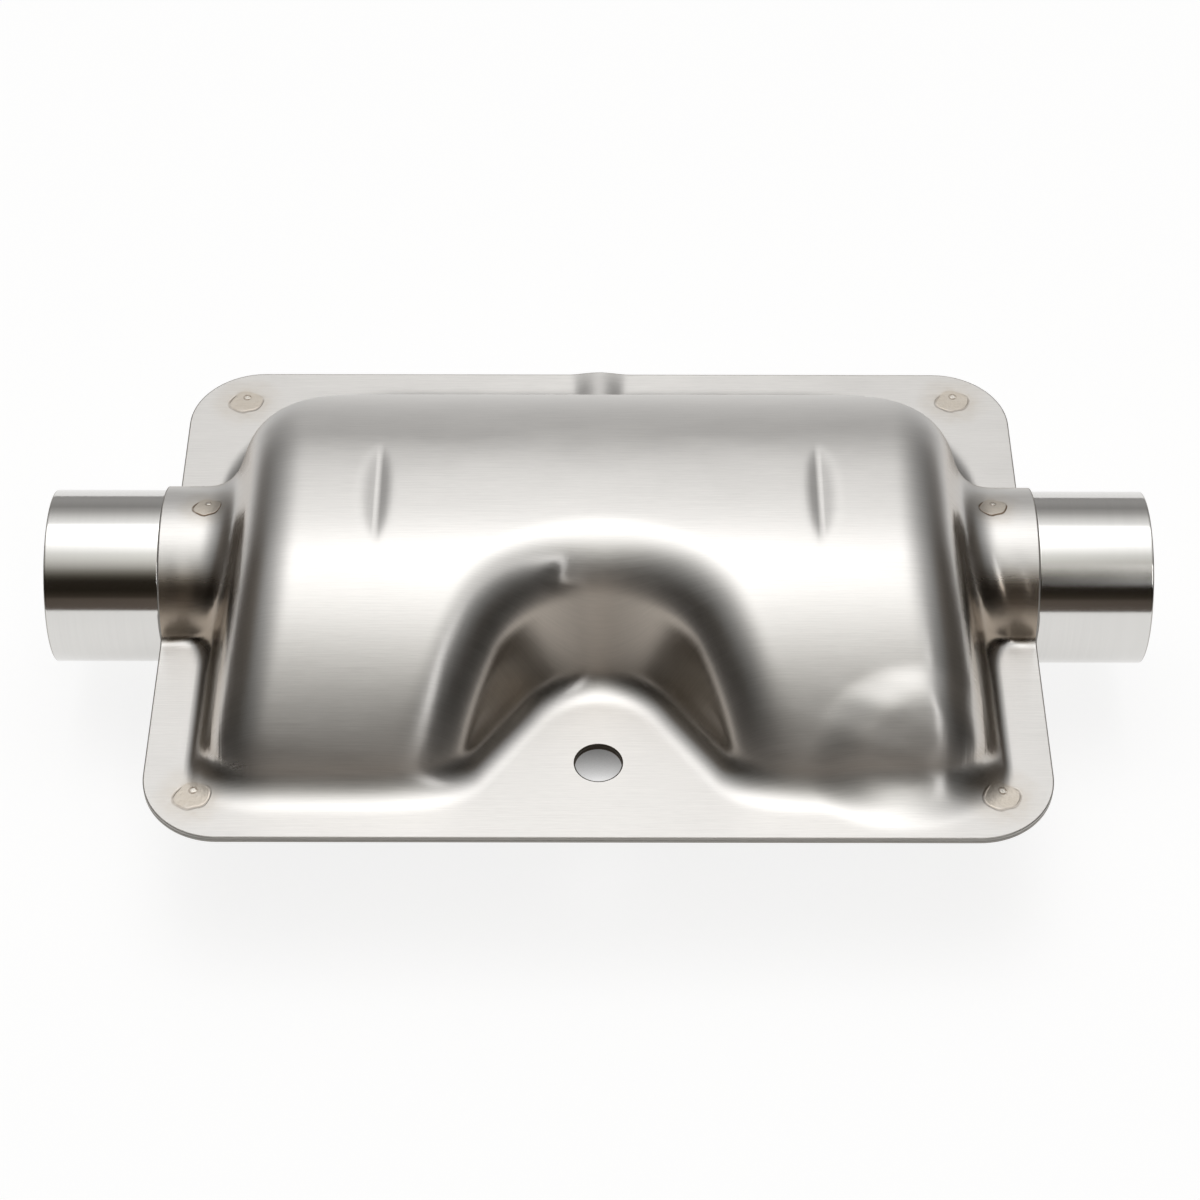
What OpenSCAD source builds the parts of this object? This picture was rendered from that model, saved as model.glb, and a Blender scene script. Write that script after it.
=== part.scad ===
// Exhaust muffler of a small diesel air heater.
// Two deep-drawn half shells are laid face to face, spot welded through their flanges and
// clamp one straight perforated tube, whose plain ends take the exhaust hoses.
// X runs along the tube, the mounting tab points to -Y, +Z is up.
// Z = 0 is the flat land along the lower crown, on which the muffler rests.

/* [Tube] */
// Outer diameter of the through tube
tube_od = 24; // [20:0.5:30]
// Wall of the through tube
tube_wall = 1; // [0.6:0.1:1.5]
// Length of the through tube, end to end
tube_length = 151.2; // [140:0.5:190]
// How much slimmer the tube's radius is between the necks than at its hose ends
tube_waist = 0.2; // [0.2:0.05:0.4]
// Diameter of one perforation
perforation_d = 3.5; // [2:0.5:5]
// Distance between two rings of perforations
perforation_pitch = 8; // [7:0.5:12]
// Perforations in one ring
perforation_count = 6; // [4:2:8]
// Plain tube left between the end wall and the first ring of perforations
perforation_inset = 11; // [8:1:20]

/* [Flange] */
// Thickness of the pressed sheet
sheet = 0.5; // [0.4:0.1:0.8]
// Length of the flange, along the tube
flange_length = 120; // [118:0.5:136]
// Depth of the flange, across the tube
flange_depth = 87.4; // [86:0.2:96]
// Corner radius of the flange
flange_corner_r = 10.5; // [6:0.5:14]
// Distance of the tube's axis behind the middle of the flange
tube_setback = 3.05; // [1:0.05:5]
// Diameter of the mounting hole
hole_d = 6.2; // [5:0.1:8]
// Distance of the mounting hole from the front edge of the flange
hole_inset = 12.6; // [10:0.1:14]

/* [Chamber] */
// Length of the chamber at its foot
chamber_length = 105.4; // [98:0.2:108]
// Depth of the chamber at its foot
chamber_depth = 75.6; // [72:0.2:78]
// Height of one half of the chamber above the joint
chamber_height = 20.6; // [19:0.1:26]
// Width of the flat land along the top of the crown
crown_land = 12; // [8:0.5:16]
// Rounding between the flat land and the crown's arc
land_r = 0.25; // [0.1:0.05:0.5]
// Corner radius of the chamber's plan, at the front
front_corner_r = 10; // [8:0.5:14]
// Corner radius of the chamber's plan, at the back
back_corner_r = 27; // [16:0.5:32]
// How far the plan outline stands off the crown's foot, front and back
corner_margin = 2.6; // [1:0.1:4]
// Draft of the end walls, from upright
end_draft = 15; // [8:0.5:18]
// Rounding between crown and end walls
shoulder_r = 7; // [3:0.5:9]
// Rounding between chamber and flange
foot_r = 3; // [1.5:0.25:4]

/* [Recess] */
// How far the flat tab reaches in from the front edge of the flange
recess_reach = 25.5; // [20:0.1:28]
// Radius of the tab's round inner end
recess_apex_r = 12.1; // [9:0.1:15]
// Angle of the tab's straight sides to the depth of the flange
recess_side = 36; // [28:1:42]
// Draft of the recess wall, from upright
recess_draft = 20; // [12:1:28]
// Rounding along the rim of the recess, at the crown
recess_rim_r = 6; // [3:0.5:8]
// Share of that rounding left at the foot of the recess
recess_rim_share = 0.6; // [0.4:0.05:1]
// Rounding with which the tab's sides flare into the front of the flange
recess_flare = 7; // [3:0.5:10]
// Distance between the chamber's front foot and the line the sides flare into
recess_mouth = 1.5; // [0.5:0.1:3]

/* [Necks] */
// Gap between the tube and the necks that clamp it
neck_fit = 0.2; // [0.2:0.01:0.25]
// Rounding between neck and end wall
neck_flare_r = 4.5; // [2:0.25:6]
// Rounding in the crease between neck and flange
neck_crease_r = 1.2; // [0.8:0.1:2]

/* [Beads] */
// Distance of each crown groove from the middle
groove_x = 29.7; // [24:0.1:33]
// Depth of a crown groove
groove_depth = 0.95; // [0.5:0.05:1.2]
// Width of a crown groove at its middle
groove_width = 5.2; // [4:0.2:7]
// Rounding of a crown groove's edges
groove_r = 0.5; // [0.3:0.1:1]
// Half the width of a crown groove's round bottom
groove_bottom = 0.35; // [0.1:0.05:0.6]
// Width of the drain bead on the back flange
drain_width = 6.2; // [5:0.2:8]
// Rise of the drain bead at the flange's edge
drain_rise = 0.45; // [0.3:0.05:0.8]
// Rise of the drain bead for each millimetre towards the chamber
drain_taper = 0.08; // [0:0.01:0.15]

/* [Baffles] */
// Thickness of a baffle plate
baffle_t = 0.8; // [0.6:0.1:1.2]
// Gap between a baffle plate and what it stands in or on
baffle_fit = 0.25; // [0.2:0.01:0.3]
// Gap between the tip of a baffle plate and the joint of the shells' feet
baffle_tip_gap = 3; // [2:0.5:6]

/* [Hidden] */
$fn = 96;

waist_r = tube_od / 2 - tube_waist;
neck_r = waist_r + neck_fit + sheet;
hose_end = (tube_length - flange_length) / 2;
middle_y = -tube_setback;
front_y = middle_y - flange_depth / 2;
back_y = middle_y + flange_depth / 2;
hole_y = front_y + hole_inset;

// The crown is an arc from foot to foot, cut level by the land.
half_depth = chamber_depth / 2;
half_length = chamber_length / 2;
crown_z = (pow(chamber_height, 2) + pow(crown_land / 2, 2) - pow(half_depth, 2))
    / (2 * chamber_height);
crown_r = norm([half_depth, crown_z]);

apex_middle = front_y + recess_reach - recess_apex_r;
groove_slope = atan(2 * groove_depth / groove_width);
drain_half = drain_width / 2;

// Smooth maximum and minimum: where two faces meet they run over a band k wide.
function over(a, b, k) = max(a, b) + pow(max(k - abs(a - b), 0), 2) / (4 * k);
function under(a, b, k) = min(a, b) - pow(max(k - abs(a - b), 0), 2) / (4 * k);
function clip(t) = min(max(t, 0), 1);
function ease(t) = let (s = clip(t)) s * s * (3 - 2 * s);
function mix(a, b, t) = a + (b - a) * t;

// Each face of the punch as a distance: below zero inside, rising with z.
function crown_face(y, z) =
    over(norm([y - middle_y, z - crown_z]) - crown_r, z - chamber_height, land_r);
function end_face(x, y, z) =
    let (r = y < middle_y ? front_corner_r : back_corner_r)
    let (qx = abs(x) + z * tan(end_draft) - half_length + r)
    let (qy = abs(y - middle_y) - half_depth - corner_margin + r)
    (norm([max(qx, 0), max(qy, 0)]) + min(max(qx, qy), 0) - r) * cos(end_draft);
// The tab's plan is a round end between two straight sides, below zero inside.
function tab_face(x, y) =
    let (dx = abs(x))
    let (dy = y - apex_middle)
    let (round_end = dx * sin(recess_side) < dy * cos(recess_side))
    (round_end ? norm([dx, dy]) : dx * cos(recess_side) + dy * sin(recess_side))
    - recess_apex_r;
function recess_face(x, y, z) =
    let (mouth = y - middle_y + half_depth + recess_mouth)
    let (tab = under(tab_face(x, y), mouth, recess_flare))
    (z * tan(recess_draft) - tab) * cos(recess_draft);
function groove_face(x, z) =
    let (across = norm([abs(x) - groove_x, groove_bottom]) - groove_bottom)
    (z - chamber_height + groove_depth) * cos(groove_slope) - across * sin(groove_slope);
function neck_face(y, z) = norm([y, z]) - neck_r;
function drain_face(x, y, z) =
    let (rise = drain_rise + drain_taper * max(back_y - y, 0))
    let (r = (pow(drain_half, 2) + pow(rise, 2)) / (2 * rise))
    y > middle_y ? norm([x, z - sheet - rise + r]) - r : drain_width;

// The whole pressing: crown, ends, recess and grooves cut one another, necks, flange and
// drain bead are added, and each pair of faces is rounded where it meets.
function chamber_face(x, y, z) =
    let (ends = over(crown_face(y, z), end_face(x, y, z), shoulder_r))
    let (rim = recess_rim_r * mix(recess_rim_share, 1, clip(z / chamber_height)))
    let (recessed = over(ends, recess_face(x, y, z), rim))
    over(recessed, groove_face(x, z), groove_r);
function pressing(x, y, z) =
    let (body = under(chamber_face(x, y, z), neck_face(y, z), neck_flare_r))
    let (foot = mix(foot_r, neck_crease_r, ease((abs(x) - half_length) / foot_r)))
    under(under(body, z - sheet, foot), drain_face(x, y, z), sheet);

// Height at which the pressing, moved inwards by inset, crosses the upright line at x, y.
root_steps = 20;
grain = 1000;
function crossing(x, y, inset, low, high, steps) =
    let (z = (low + high) / 2)
    steps == 0 ? round(z * grain) / grain
    : pressing(x, y, z) + inset > 0 ? crossing(x, y, inset, low, z, steps - 1)
    : crossing(x, y, inset, z, high, steps - 1);
function height(x, y, inset) = crossing(x, y, inset, 0, chamber_height + sheet, root_steps);

// Stations along X, closer together where the sheet bends.
trim = 1;
bead_edge = drain_half * 1.3;
groove_half = groove_width / 2;
groove_edge = groove_half * 1.15;
shoulder_x = half_length - chamber_height * tan(end_draft) - shoulder_r / 2 - trim;
foot_x = half_length + foot_r;
recess_steps = 7;
end_shares = [0, 0.16, 0.3, 0.42, 0.52, 0.62, 0.7, 0.77, 0.84, 1];
half_stations = concat(
    [0, drain_half * 0.5, drain_half, bead_edge],
    [for (i = [1 : recess_steps]) mix(bead_edge, groove_x - groove_edge, i / recess_steps)],
    [for (s = [-0.5, 0, 0.5]) groove_x + groove_half * s],
    [for (i = [0 : 2]) mix(groove_x + groove_edge, shoulder_x, i / 3)],
    [for (s = end_shares) mix(shoulder_x, foot_x, s)],
    [flange_length / 2 + trim]
);
half_count = len(half_stations);
stations = concat(
    [for (i = [half_count - 1 : -1 : 1]) -half_stations[i]],
    half_stations
);

// The first and the last line along a station follow the chamber's foot.
foot_depth = half_depth + foot_r / 2;
function corner_y(x, r) =
    let (past = max(abs(x) - half_length + r, 0))
    half_depth + corner_margin - r + sqrt(max(pow(r + foot_r / 2, 2) - past * past, 0));
function tab_edge(x, grow) =
    let (r = recess_apex_r + grow)
    let (dx = abs(x))
    apex_middle + (dx < r * cos(recess_side) ? sqrt(r * r - dx * dx)
    : (r - dx * cos(recess_side)) / sin(recess_side));
function first_y(x) =
    let (front = middle_y - min(foot_depth, corner_y(x, front_corner_r)))
    over(front, tab_edge(x, -foot_r / 2), foot_r);
function last_y(x) =
    over(middle_y + min(foot_depth, corner_y(x, back_corner_r)), neck_r * 1.5, foot_r);

// One layout of lines for the chamber, one for the necks, with the same number of lines.
wall_run = chamber_height * tan(recess_draft) + recess_rim_r / 2;
land_flat = crown_land * 0.3;
wall_shares = [0, 0.09, 0.17, 0.25, 0.35, 0.46, 0.58, 0.72, 0.86, 1];
back_shares = [0.14, 0.28, 0.42, 0.55, 0.67, 0.78, 0.87, 0.94, 1];
function chamber_lines(x) =
    let (start = first_y(x))
    let (rim = over(start + wall_run * 0.8, tab_edge(x, wall_run), foot_r))
    concat(
        [for (s = wall_shares) mix(start, rim, s)],
        [for (i = [1 : 4]) mix(rim, middle_y - land_flat, i / 4)],
        [middle_y, middle_y + land_flat],
        [for (s = back_shares) mix(middle_y + land_flat, last_y(x), s)]
    );
neck_shares = [1.2, 1.04, 0.985, 0.94, 0.86, 0.7, 0.47, 0.168];
function neck_lines(x) =
    let (wide = neck_r * neck_shares[0])
    concat(
        [for (s = [0, 0.06, 0.14, 0.28, 0.55]) mix(first_y(x), -wide, s)],
        [for (s = neck_shares) -neck_r * s],
        [for (i = [len(neck_shares) - 1 : -1 : 0]) neck_r * neck_shares[i]],
        [for (s = [0.35, 0.65, 0.85, 1]) mix(wide, last_y(x), s)]
    );
lines_start = groove_x + groove_edge;
neck_start = half_length - neck_r * tan(end_draft);
function lines(x) =
    let (share = ease((abs(x) - lines_start) / (neck_start - lines_start)))
    let (a = chamber_lines(x))
    let (b = neck_lines(x))
    concat([front_y - trim], [for (i = [0 : len(a) - 1]) mix(a[i], b[i], share)], [back_y + trim]);

module sheet_metal() {
    grid = [for (x = stations) [for (y = lines(x)) [x, y]]];
    nx = len(grid);
    ny = len(grid[0]);
    count = nx * ny;
    outside = [for (row = grid) for (p = row) [p.x, p.y, height(p.x, p.y, 0)]];
    inside = [for (row = grid) for (p = row) [p.x, p.y, height(p.x, p.y, sheet)]];
    // The cells are split along diagonals that mirror each other, left and right.
    upper = [for (i = [0 : nx - 2]) for (j = [0 : ny - 2])
        let (a = i * ny + j)
        let (b = a + ny)
        each i < (nx - 1) / 2 ? [[a, a + 1, b + 1], [a, b + 1, b]]
            : [[a, a + 1, b], [a + 1, b + 1, b]]];
    lower = [for (f = upper) [f[2] + count, f[1] + count, f[0] + count]];
    rim = concat(
        [for (j = [0 : ny - 2]) [j + 1, j]],
        [for (i = [0 : nx - 2]) [i * ny, (i + 1) * ny]],
        [for (j = [0 : ny - 2]) [(nx - 1) * ny + j, (nx - 1) * ny + j + 1]],
        [for (i = [0 : nx - 2]) [(i + 2) * ny - 1, (i + 1) * ny - 1]]
    );
    sides = [for (e = rim) each
        [[e[0], e[1], e[1] + count], [e[0], e[1] + count, e[0] + count]]];
    polyhedron(points = concat(outside, inside), faces = concat(upper, lower, sides));
}

module flange_outline() {
    for (size = [
        [flange_length, flange_depth - 2 * flange_corner_r],
        [flange_length - 2 * flange_corner_r, flange_depth]
    ])
        translate([0, middle_y]) square(size, center = true);
    for (sx = [-1, 1], sy = [-1, 1])
        translate([
            sx * (flange_length / 2 - flange_corner_r),
            middle_y + sy * (flange_depth / 2 - flange_corner_r)
        ])
            circle(r = flange_corner_r);
}

module half_shell() {
    difference() {
        intersection() {
            sheet_metal();
            translate([0, 0, -trim])
                linear_extrude(chamber_height + 2 * trim + sheet)
                    flange_outline();
        }
        translate([0, hole_y, -trim]) cylinder(d = hole_d, h = sheet + 2 * trim);
    }
}

// Sets a piece from the tube's axis into the part's own frame.
module in_frame() translate([0, -middle_y, chamber_height]) children();

module upper_shell() color("silver") in_frame() half_shell();

module lower_shell() color("silver") in_frame() rotate([0, 180, 0]) half_shell();

module perforated_tube() color("lightgray") in_frame() difference() {
    rotate([0, 90, 0]) union() {
        cylinder(r = waist_r, h = tube_length, center = true);
        for (s = [-1, 1])
            translate([0, 0, s * (tube_length - hose_end) / 2])
                cylinder(d = tube_od, h = hose_end, center = true);
    }
    rotate([0, 90, 0])
        cylinder(d = tube_od - 2 * tube_wall, h = tube_length + 2 * trim, center = true);
    span = chamber_length - 2 * perforation_inset;
    rings = floor(span / perforation_pitch);
    for (i = [0 : rings], k = [0 : perforation_count / 2 - 1])
        translate([(i - rings / 2) * perforation_pitch, 0, 0])
            rotate([(k + (i % 2) / 2) * 360 / perforation_count, 0, 0])
                cylinder(d = perforation_d, h = tube_od + 2 * trim, center = true);
}

// A plate across the chamber: the lens between both crowns, cut level under the grooves.
module baffle(x) {
    plate_r = crown_r - sheet - baffle_fit;
    top = chamber_height - groove_depth - sheet - baffle_fit;
    width = chamber_depth - 2 * baffle_tip_gap - 2 * sheet;
    translate([x - baffle_t / 2, 0, 0]) rotate([90, 0, 90]) linear_extrude(baffle_t) difference() {
        intersection() {
            translate([middle_y, crown_z]) circle(r = plate_r);
            translate([middle_y, -crown_z]) circle(r = plate_r);
            translate([middle_y, 0]) square([width, 2 * top], center = true);
        }
        circle(r = waist_r + baffle_fit);
    }
}

module baffle_left() color("darkgray") in_frame() baffle(-groove_x);

module baffle_right() color("darkgray") in_frame() baffle(groove_x);

upper_shell();
lower_shell();
perforated_tube();
baffle_left();
baffle_right();
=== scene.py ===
"""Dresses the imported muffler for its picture.

Two pressed half shells with their weld marks, the polished through tube, the inner plates,
the floor, the studio's light and the camera. Sizes are in millimetres and measured from the
tube's axis until a mesh is written, which is in metres and in the frame's own axes.
"""

import logging
import math
from dataclasses import dataclass
from enum import Enum
from typing import Dict, List, Optional, Sequence, Tuple, Union

import bmesh
import bpy
import numpy as np
from mathutils import Matrix, Vector


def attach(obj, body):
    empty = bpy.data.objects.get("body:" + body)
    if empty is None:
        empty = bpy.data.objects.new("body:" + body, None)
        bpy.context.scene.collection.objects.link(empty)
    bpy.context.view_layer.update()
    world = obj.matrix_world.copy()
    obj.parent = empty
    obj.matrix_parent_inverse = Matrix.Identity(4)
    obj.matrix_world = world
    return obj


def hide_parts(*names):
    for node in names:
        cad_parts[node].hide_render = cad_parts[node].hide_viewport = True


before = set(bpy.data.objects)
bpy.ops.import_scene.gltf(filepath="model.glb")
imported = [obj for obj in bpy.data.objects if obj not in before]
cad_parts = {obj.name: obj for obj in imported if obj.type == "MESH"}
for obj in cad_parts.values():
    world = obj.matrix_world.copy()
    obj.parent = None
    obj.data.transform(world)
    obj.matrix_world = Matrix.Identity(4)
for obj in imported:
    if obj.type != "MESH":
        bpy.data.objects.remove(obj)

LOG = logging.getLogger("muffler")
MM = 0.001
FLAT_MAP = "flat_sheet"
WELD_MAP = "beside_weld"
CUT_MASK = "cut_edge"
# Point mask of steep walls: painted shade, less roughness and draw lines there.
STEEP_SHADE_GLOSS_MASK = "steep_wall_shade_gloss"
EDGE_CUT = 0.5
# HOLE_CUT marks the hole's cut faces, which are coloured near black as painted shade.
HOLE_CUT = 1.0
SHARP_ANGLE = math.radians(50.0)
HALVINGS = 26
TRIAL_STEP = 0.02
Array = np.ndarray
Socket = bpy.types.NodeSocket
Tree = bpy.types.NodeTree
Pair = Tuple[float, float]
Colour = Tuple[float, float, float]
Value = Union[Socket, float, Tuple[float, ...]]


class Half(Enum):
    """Which way a half shell lies: the sign of its height."""

    UPPER = 1
    LOWER = -1


def smooth_over(a: Array, b: Array, band: Array) -> Array:
    """Returns the larger of two distances, rounded over a band where they are alike."""
    return np.maximum(a, b) + np.maximum(band - np.abs(a - b), 0.0) ** 2 / (4.0 * band)


def smooth_under(a: Array, b: Array, band: Array) -> Array:
    """Returns the smaller of two distances, rounded over a band where they are alike."""
    return np.minimum(a, b) - np.maximum(band - np.abs(a - b), 0.0) ** 2 / (4.0 * band)


def ease(t: Array) -> Array:
    """Returns 3t squared less 2t cubed, with t held between 0 and 1."""
    s = np.clip(t, 0.0, 1.0)
    return s * s * (3.0 - 2.0 * s)


class Profile(Enum):
    """The section of a mark in the sheet."""

    ROUND = "round"
    DISC = "disc"
    WAVE = "wave"


@dataclass(frozen=True)
class Mark:
    """A shallow mark in the sheet with soft edges."""

    x: float
    y: float
    half_x: float
    half_y: float
    depth: float
    turn: float = 0.0
    profile: Profile = Profile.ROUND
    sharp: float = 0.3

    def offset(self, x: Array, y: Array) -> Array:
        """Works out how far the mark moves the sheet upwards.

        With q as the distance from the middle in units of the half sizes, a round mark is
        minus depth times exp(-q squared). A disc is level inside and eases out about q = 1
        over a band as wide as sharp. A wave is a round mark times a cosine along its first
        axis, with sharp as the wave's length in half sizes.

        Args:
            x: places along the tube.
            y: places across the tube.

        Returns:
            The change of height at each place.
        """
        c, s = math.cos(self.turn), math.sin(self.turn)
        u = ((x - self.x) * c + (y - self.y) * s) / self.half_x
        v = (-(x - self.x) * s + (y - self.y) * c) / self.half_y
        q = np.hypot(u, v)
        if self.profile is Profile.DISC:
            return -self.depth * ease((1.0 - q) / self.sharp + 0.5)
        if self.profile is Profile.WAVE:
            return -self.depth * np.exp(-q * q) * np.cos(2.0 * math.pi * u / self.sharp)
        return -self.depth * np.exp(-q * q)


@dataclass(frozen=True)
class Pressing:
    """The form of one half shell, held as distances from the faces of its punch."""

    sheet: float = 0.5
    flange_length: float = 120.0
    flange_depth: float = 87.4
    flange_corner_r: float = 10.5
    tube_setback: float = 3.05
    hole_r: float = 3.1
    hole_inset: float = 12.6
    chamber_length: float = 105.4
    chamber_depth: float = 75.6
    chamber_height: float = 20.6
    crown_land: float = 12.0
    land_r: float = 1.2
    front_corner_r: float = 10.0
    back_corner_r: float = 27.0
    corner_margin: float = 2.6
    end_draft: float = math.radians(15.0)
    shoulder_r: float = 7.0
    foot_r: float = 3.0
    recess_reach: float = 25.5
    recess_apex_r: float = 12.1
    recess_side: float = math.radians(36.0)
    recess_draft: float = math.radians(20.0)
    recess_rim_r: float = 6.0
    recess_rim_share: float = 0.6
    recess_flare: float = 7.0
    recess_mouth: float = 1.5
    neck_r: float = 12.5
    neck_flare_r: float = 4.5
    neck_crease_r: float = 1.2
    groove_x: float = 29.7
    groove_depth: float = 0.58
    groove_outer: float = 2.7
    groove_inner: float = 1.9
    groove_r: float = 0.22
    groove_bottom: float = 0.12
    drain_width: float = 6.2
    drain_rise: float = 0.45
    drain_taper: float = 0.08

    @property
    def middle_y(self) -> float:
        """The flange's middle across the tube."""
        return -self.tube_setback

    @property
    def front_y(self) -> float:
        """The flange's front edge."""
        return self.middle_y - self.flange_depth / 2.0

    @property
    def back_y(self) -> float:
        """The flange's back edge."""
        return self.middle_y + self.flange_depth / 2.0

    @property
    def hole_y(self) -> float:
        """The middle of the mounting hole."""
        return self.front_y + self.hole_inset

    @property
    def half_depth(self) -> float:
        """Half the chamber's depth at its foot."""
        return self.chamber_depth / 2.0

    def crown_face(self, y: Array, z: Array) -> Array:
        """Works out the distance from the crown.

        The crown is an arc through both feet and both edges of the land, so its middle
        stands at (h squared + a squared - d squared) / 2h, with h the chamber's height, a
        half the land's width and d half the chamber's depth. The land cuts it level.

        Args:
            y: places across the tube.
            z: heights.

        Returns:
            The distance from the arc or the land, whichever is the larger.
        """
        h, land = self.chamber_height, self.crown_land / 2.0
        middle = (h * h + land * land - self.half_depth ** 2) / (2.0 * h)
        arc = np.hypot(y - self.middle_y, z - middle) - math.hypot(self.half_depth, middle)
        return smooth_over(arc, z - h, self.land_r)

    def end_face(self, x: Array, y: Array, z: Array) -> Array:
        """Returns the distance from the plan: a round-cornered box that narrows with height."""
        r = np.where(y < self.middle_y, self.front_corner_r, self.back_corner_r)
        qx = np.abs(x) + z * math.tan(self.end_draft) - self.chamber_length / 2.0 + r
        qy = np.abs(y - self.middle_y) - self.half_depth - self.corner_margin + r
        outside = np.hypot(np.maximum(qx, 0.0), np.maximum(qy, 0.0))
        return (outside + np.minimum(np.maximum(qx, qy), 0.0) - r) * math.cos(self.end_draft)

    def tab_face(self, x: Array, y: Array) -> Array:
        """Returns the distance from the tab's plan, a round end between two straight sides."""
        c, s = math.cos(self.recess_side), math.sin(self.recess_side)
        u = np.abs(x)
        v = y - self.front_y - self.recess_reach + self.recess_apex_r
        edge = np.where(u * s < v * c, np.hypot(u, v), u * c + v * s)
        return edge - self.recess_apex_r

    def recess_face(self, x: Array, y: Array, z: Array) -> Array:
        """Works out the distance from the drafted wall that rises round the tab.

        The tab's sides flare into the front of the flange, and the wall leans back from
        that outline by the tangent of its draft for each millimetre of height.

        Args:
            x: places along the tube.
            y: places across the tube.
            z: heights.

        Returns:
            The distance, above zero on the tab's side.
        """
        mouth = y - self.middle_y + self.half_depth + self.recess_mouth
        tab = smooth_under(self.tab_face(x, y), mouth, self.recess_flare)
        return (z * math.tan(self.recess_draft) - tab) * math.cos(self.recess_draft)

    def groove_face(self, x: Array, z: Array) -> Array:
        """Returns the height above the level V of the crown grooves, steeper on its inner side."""
        gap = np.abs(x) - self.groove_x
        across = np.hypot(gap, self.groove_bottom) - self.groove_bottom
        flank = np.where(gap > 0.0, self.groove_outer, self.groove_inner)
        return z - self.chamber_height + self.groove_depth * (1.0 - across / flank)

    def drain_face(self, x: Array, y: Array, z: Array) -> Array:
        """Returns the distance from the round drain bead across the back flange."""
        half = self.drain_width / 2.0
        rise = self.drain_rise + self.drain_taper * np.maximum(self.back_y - y, 0.0)
        r = (half ** 2 + rise ** 2) / (2.0 * rise)
        bead = np.hypot(x, z - self.sheet - rise + r) - r
        return np.where(y > self.middle_y, bead, self.drain_width)

    def field(self, x: Array, y: Array, z: Array) -> Array:
        """Works out the whole pressing's distance: below zero inside, rising with height.

        Crown, ends, recess and grooves cut one another. Necks, flange and drain bead are
        added, and each pair of faces is rounded where it meets.

        Args:
            x: places along the tube.
            y: places across the tube.
            z: heights.

        Returns:
            The distance from the sheet's outer face.
        """
        body = smooth_over(self.crown_face(y, z), self.end_face(x, y, z), self.shoulder_r)
        share = np.clip(z / self.chamber_height, 0.0, 1.0)
        rim = self.recess_rim_share + (1.0 - self.recess_rim_share) * share
        body = smooth_over(body, self.recess_face(x, y, z), self.recess_rim_r * rim)
        body = smooth_over(body, self.groove_face(x, z), self.groove_r)
        body = smooth_under(body, np.hypot(y, z) - self.neck_r, self.neck_flare_r)
        beyond = ease((np.abs(x) - self.chamber_length / 2.0) / self.foot_r)
        foot = self.foot_r + (self.neck_crease_r - self.foot_r) * beyond
        body = smooth_under(body, z - self.sheet, foot)
        return smooth_under(body, self.drain_face(x, y, z), self.sheet)

    def steepness(self, x: Array, y: Array, z: Array) -> Array:
        """Returns 1 less the upward share of the face's normal: 0 where the face is level."""
        e = TRIAL_STEP
        slopes = [
            self.field(x + e, y, z) - self.field(x - e, y, z),
            self.field(x, y + e, z) - self.field(x, y - e, z),
            self.field(x, y, z + e) - self.field(x, y, z - e),
        ]
        return 1.0 - slopes[2] / np.linalg.norm(slopes, axis=0)

    def height(self, x: Array, y: Array, inset: float = 0.0) -> Array:
        """Finds where the sheet's face crosses each upright line, by halving its span.

        Args:
            x: places along the tube.
            y: places across the tube.
            inset: how far inside the outer face the wanted face lies.

        Returns:
            The heights above the joint.
        """
        low = np.zeros_like(x)
        high = np.full_like(x, self.chamber_height + self.sheet)
        for _ in range(HALVINGS):
            mid = (low + high) / 2.0
            above = self.field(x, y, mid) + inset > 0.0
            high = np.where(above, mid, high)
            low = np.where(above, low, mid)
        return (low + high) / 2.0


def new_object(name: str, data: bpy.types.ID) -> bpy.types.Object:
    """Makes an object for a mesh or a camera and puts it into the scene."""
    item = bpy.data.objects.new(name, data)
    bpy.context.scene.collection.objects.link(item)
    return item


def write_mesh(
    name: str,
    points: Array,
    quads: Array,
    layers: Dict[str, Array],
    masks: Dict[str, Tuple[str, Array]],
) -> bpy.types.Object:
    """Puts arrays of points and four-sided faces into a mesh object at the origin.

    Args:
        name: the object's name.
        points: n by 3, in metres.
        quads: m by 4 indices, counter-clockwise seen from outside.
        layers: for each map's name its places, m by 4 by 2, one for each face corner.
        masks: for each mask's name whether it goes by POINT or by FACE, and its values.
            The cut edges hold EDGE_CUT at the flange and the tube's ends, HOLE_CUT in the hole.

    Returns:
        The new object.
    """
    mesh = bpy.data.meshes.new(name)
    mesh.vertices.add(len(points))
    mesh.vertices.foreach_set("co", points.astype(np.float32).ravel())
    mesh.loops.add(quads.size)
    mesh.loops.foreach_set("vertex_index", quads.astype(np.int32).ravel())
    mesh.polygons.add(len(quads))
    mesh.polygons.foreach_set("loop_start", np.arange(len(quads), dtype=np.int32) * 4)
    mesh.polygons.foreach_set("use_smooth", np.ones(len(quads), dtype=bool))
    mesh.update(calc_edges=True)
    for layer_name, places in layers.items():
        layer = mesh.uv_layers.new(name=layer_name)
        layer.data.foreach_set("uv", places.astype(np.float32).ravel())
    for mask_name, (domain, values) in masks.items():
        mask = mesh.attributes.new(name=mask_name, type="FLOAT", domain=domain)
        mask.data.foreach_set("value", values.astype(np.float32))
    mesh.validate()
    mesh.set_sharp_from_angle(angle=SHARP_ANGLE)
    return new_object(name, mesh)


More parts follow.
